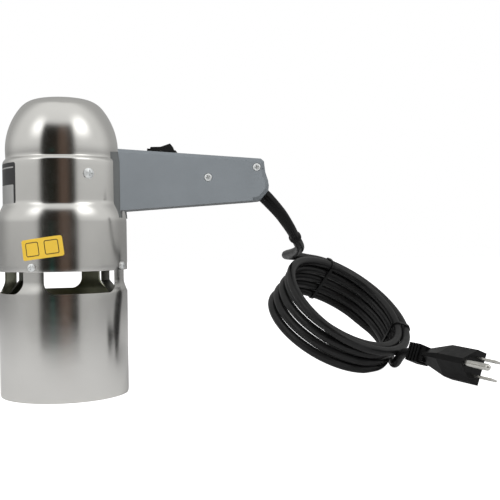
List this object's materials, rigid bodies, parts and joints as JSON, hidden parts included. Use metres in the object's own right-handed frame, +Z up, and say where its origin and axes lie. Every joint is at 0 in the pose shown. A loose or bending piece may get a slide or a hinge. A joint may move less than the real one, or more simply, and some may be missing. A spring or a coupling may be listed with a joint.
{
  "type": "embossing heat tool",
  "caption": "Handheld hot-air embossing heater: spun metal body standing on its mouth, side handle with rocker switch, coiled mains cord and plug.",
  "frame": {"origin": "centre of the hot-air mouth, in the plane of its rim (the bench when the tool stands on its mouth)", "axes": "+Z up along the body's axis towards the dome, +X along the handle away from the body, +Y away from the picture's viewer"},
  "size_m": [0.3498, 0.1997, 0.2091],
  "materials": {
    "polished_metal": "polished",
    "sheet_metal": "satin",
    "zinc_steel": "satin",
    "shaft_steel": "polished",
    "grey_plastic": "satin",
    "dark_plastic": "satin",
    "black_plastic": "satin",
    "black_pvc": "satin",
    "mica": "matte",
    "heating_wire": "satin",
    "magnet": "matte",
    "copper": "satin",
    "bronze": "satin",
    "white_plastic": "satin",
    "plated_brass": "polished"
  },
  "bodies": {
    "tool": {"nozzle_skirt": "polished_metal", "skirt_screws": "zinc_steel", "main_housing": "polished_metal", "housing_screws": "zinc_steel", "dome_cap": "polished_metal", "heater_straps": "sheet_metal", "heat_tube": "sheet_metal", "mica_liner": "mica", "heater_mica": "mica", "heater_coil": "heating_wire", "thermal_cutout": "zinc_steel", "shroud_ring": "sheet_metal", "shaft_bearings": "bronze", "motor_bracket": "sheet_metal", "motor_can": "zinc_steel", "motor_magnets": "magnet", "motor_screws": "zinc_steel", "handle_saddle": "dark_plastic", "saddle_screws": "zinc_steel", "handle_shell_front": "grey_plastic", "handle_shell_back": "grey_plastic", "handle_screws": "zinc_steel", "switch_body": "black_plastic", "rocker_pin": "shaft_steel", "terminal_block": "white_plastic", "strain_relief": "black_pvc", "cord_lead": "black_pvc", "cord_coil": "black_pvc", "cord_ties": "black_plastic", "cord_tail": "black_pvc", "plug_body": "black_pvc", "plug_blades": "plated_brass", "plug_ground_pin": "plated_brass"},
    "rocker": {"switch_rocker": "black_plastic"},
    "rotor": {"fan_impeller": "sheet_metal", "motor_shaft": "shaft_steel", "motor_armature": "copper"}
  },
  "joints": [
    {"name": "rocker_hinge", "type": "hinge", "parent": "tool", "child": "rocker", "pos_m": [0.0705, 0, 0.1681], "axis": [0, 1, 0], "range_deg": [0, 28]},
    {"name": "rotor_spin", "type": "hinge", "parent": "tool", "child": "rotor", "pos_m": [0, 0, 0.16], "axis": [0, 0, 1], "continuous": true}
  ]
}
